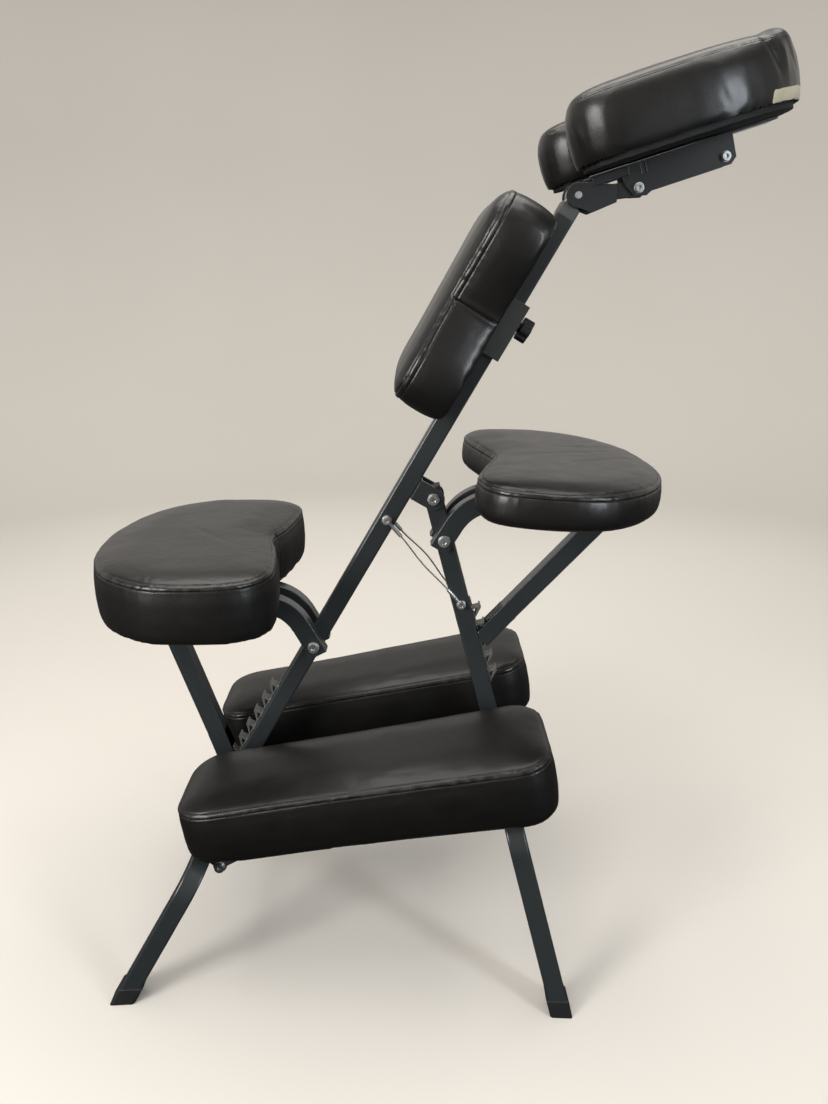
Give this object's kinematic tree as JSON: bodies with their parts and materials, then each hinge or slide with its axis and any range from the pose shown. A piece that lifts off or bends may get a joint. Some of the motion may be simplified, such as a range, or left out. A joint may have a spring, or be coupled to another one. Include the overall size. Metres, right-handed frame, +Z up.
{
  "type": "folding massage chair",
  "caption": "Folding massage chair with square steel tube frames, dark padded seat, knee pads, armrest, sliding chest pad and tilting face cradle",
  "frame": {"origin": "middle of the footprint box, on the floor", "axes": "+X from the seat to the face cradle, +Y to the far side, +Z up"},
  "size_m": [0.838, 0.4788, 1.1448],
  "materials": {
    "frame_paint": "satin dark charcoal powder coat",
    "light_grey_paint": "satin mid grey",
    "grey_steel": "grey coated strip",
    "zinc_steel": "zinc plated, semi bright",
    "bright_steel": "brushed",
    "cable_steel": "stranded wire rope",
    "black_plastic": "moulded, matte",
    "grey_plastic": "moulded bushing",
    "white_nylon": "machined nylon",
    "plywood": "raw plywood",
    "dark_board": "black stained plywood",
    "rubber": "matte",
    "leatherette": "very dark brown-black coated fabric, soft sheen"
  },
  "bodies": {
    "main": {"main_post": "frame_paint", "front_legs": "frame_paint", "front_foot_caps": "black_plastic", "hinge_bracket": "frame_paint", "hinge_bolt": "zinc_steel", "seat_rack": "grey_steel", "seat_pivot_bolt": "zinc_steel", "knee_lugs": "frame_paint", "knee_pivot_bolts": "zinc_steel", "post_collar": "grey_plastic", "upper_cable_ends": "zinc_steel", "stay_cables": "cable_steel"},
    "rear": {"rear_post": "frame_paint", "rear_post_plug": "black_plastic", "rear_legs": "frame_paint", "rear_foot_caps": "black_plastic", "armrest_rack": "grey_steel", "armrest_pivot_bolt": "zinc_steel", "lower_cable_ends": "zinc_steel"},
    "seat": {"seat_arms": "frame_paint", "seat_strut_hinge_bolt": "zinc_steel", "seat_board": "plywood", "seat_cushion": "leatherette"},
    "seat_prop": {"seat_strut": "frame_paint"},
    "armrest": {"armrest_arms": "frame_paint", "armrest_strut_hinge_bolt": "zinc_steel", "armrest_board": "plywood", "armrest_cushion": "leatherette"},
    "armrest_prop": {"armrest_strut": "frame_paint"},
    "knee_near": {"knee_bracket_near": "frame_paint", "knee_board_near": "plywood", "knee_cushion_near": "leatherette", "knee_rest_near": "rubber"},
    "knee_far": {"knee_bracket_far": "frame_paint", "knee_board_far": "plywood", "knee_cushion_far": "leatherette", "knee_rest_far": "rubber"},
    "chest": {"chest_sleeve": "light_grey_paint", "chest_board": "plywood", "chest_cushion": "leatherette"},
    "knob": {"chest_knob": "black_plastic"},
    "stem": {"cradle_stem": "bright_steel", "stem_guide": "white_nylon", "cradle_arm_bolt": "zinc_steel"},
    "cradle_arm": {"cradle_arms": "frame_paint"},
    "lever": {"cam_lever": "black_plastic"},
    "cradle": {"cradle_channel": "frame_paint", "cradle_bolts": "zinc_steel", "cradle_board": "dark_board", "cradle_cushion": "leatherette"}
  },
  "joints": [
    {"name": "frame_fold", "type": "hinge", "parent": "main", "child": "rear", "pos_m": [0.01651, 0, 0.62324], "axis": [0, 1, 0], "range_deg": [0, 40], "deforming": ["stay_cables"]},
    {"name": "knee_near_lift", "type": "hinge", "parent": "main", "child": "knee_near", "pos_m": [-0.26625, -0.134, 0.15488], "axis": [0, -1, 0], "range_deg": [0, 28]},
    {"name": "knee_far_lift", "type": "hinge", "parent": "main", "child": "knee_far", "pos_m": [-0.26625, 0.134, 0.15488], "axis": [0, -1, 0], "range_deg": [0, 28]},
    {"name": "seat_tilt", "type": "hinge", "parent": "main", "child": "seat", "pos_m": [-0.145, 0, 0.42089], "axis": [0, 1, 0], "range_deg": [0, 35]},
    {"name": "seat_strut_swing", "type": "hinge", "parent": "seat", "child": "seat_prop", "pos_m": [-0.357, 0, 0.48319], "axis": [0, -1, 0], "range_deg": [0, 20.3]},
    {"name": "armrest_tilt", "type": "hinge", "parent": "rear", "child": "armrest", "pos_m": [0.03013, 0, 0.57098], "axis": [0, -1, 0], "range_deg": [0, 15]},
    {"name": "armrest_strut_swing", "type": "hinge", "parent": "armrest", "child": "armrest_prop", "pos_m": [0.25671, 0, 0.61449], "axis": [0, 1, 0], "range_deg": [0, 6]},
    {"name": "chest_slide", "type": "slide", "parent": "main", "child": "chest", "axis": [0.5, 0, 0.866], "range_m": [-0.08, 0.015]},
    {"name": "knob_turn", "type": "hinge", "parent": "chest", "child": "knob", "pos_m": [0.102, 0, 0.84871], "axis": [-0.866, 0, 0.5], "continuous": true},
    {"name": "cradle_height", "type": "slide", "parent": "main", "child": "stem", "axis": [0.5, 0, 0.866], "range_m": [0, 0.05]},
    {"name": "cradle_arm_tilt", "type": "hinge", "parent": "stem", "child": "cradle_arm", "pos_m": [0.182, 0, 0.98727], "axis": [0, -1, 0], "range_deg": [-45, 20]},
    {"name": "cam_lever_turn", "type": "hinge", "parent": "cradle_arm", "child": "lever", "pos_m": [0.182, 0, 0.98727], "axis": [0, 1, 0], "range_deg": [0, 50]},
    {"name": "cradle_tilt", "type": "hinge", "parent": "cradle_arm", "child": "cradle", "pos_m": [0.25137, 0, 0.99505], "axis": [0, -1, 0], "range_deg": [-45, 10]}
  ],
  "couplings": [
    {"joint": "knee_near_lift", "follows": "frame_fold", "ratio": 0.7},
    {"joint": "knee_far_lift", "follows": "frame_fold", "ratio": 0.7},
    {"joint": "seat_strut_swing", "follows": "seat_tilt", "ratio": 0.58},
    {"joint": "armrest_strut_swing", "follows": "armrest_tilt", "ratio": 0.4}
  ]
}
